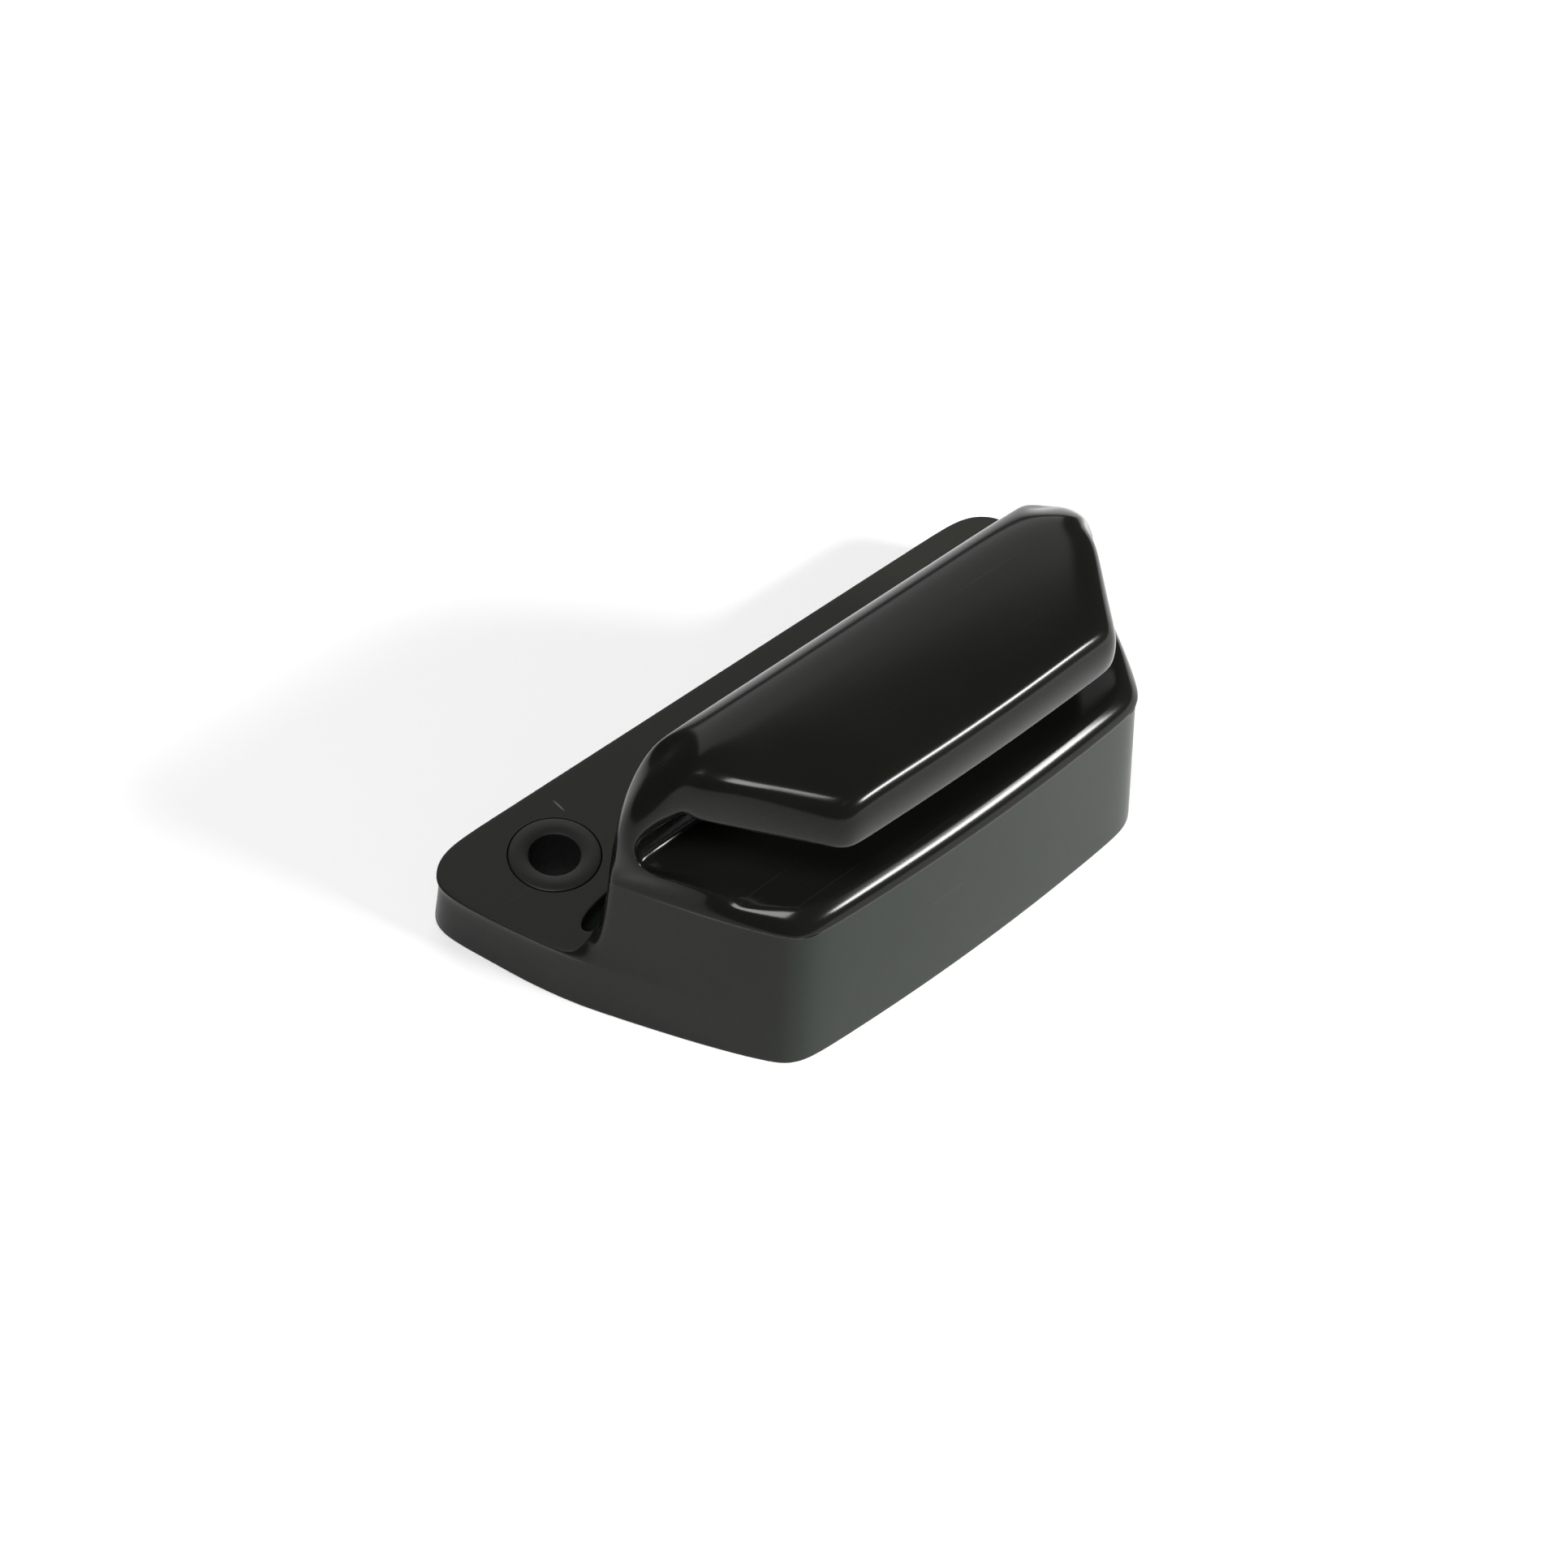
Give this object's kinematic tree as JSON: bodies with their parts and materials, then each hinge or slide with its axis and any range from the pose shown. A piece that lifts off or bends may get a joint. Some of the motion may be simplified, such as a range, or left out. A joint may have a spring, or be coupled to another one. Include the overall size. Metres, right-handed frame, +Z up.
{
  "type": "side-entry rope cleat",
  "caption": "Moulded side-entry rope cleat: a hooked hood over an open-sided rope slot, on a screw flange with pressed-in bushes.",
  "frame": {"origin": "middle of the cleat's length and depth, on its underside", "axes": "+X along the cleat, +Y from the open side towards the screw flange, +Z up from the deck"},
  "size_m": [0.08, 0.04, 0.0328],
  "materials": {
    "cleat_body": "black moulded plastic: polished hood and ledge, fine-grained flange, satin front wall",
    "screw_bush": "smooth black moulded plastic"
  },
  "bodies": {
    "root": {"cleat_body": "cleat_body", "left_screw_bush": "screw_bush", "right_screw_bush": "screw_bush"}
  },
  "joints": []
}
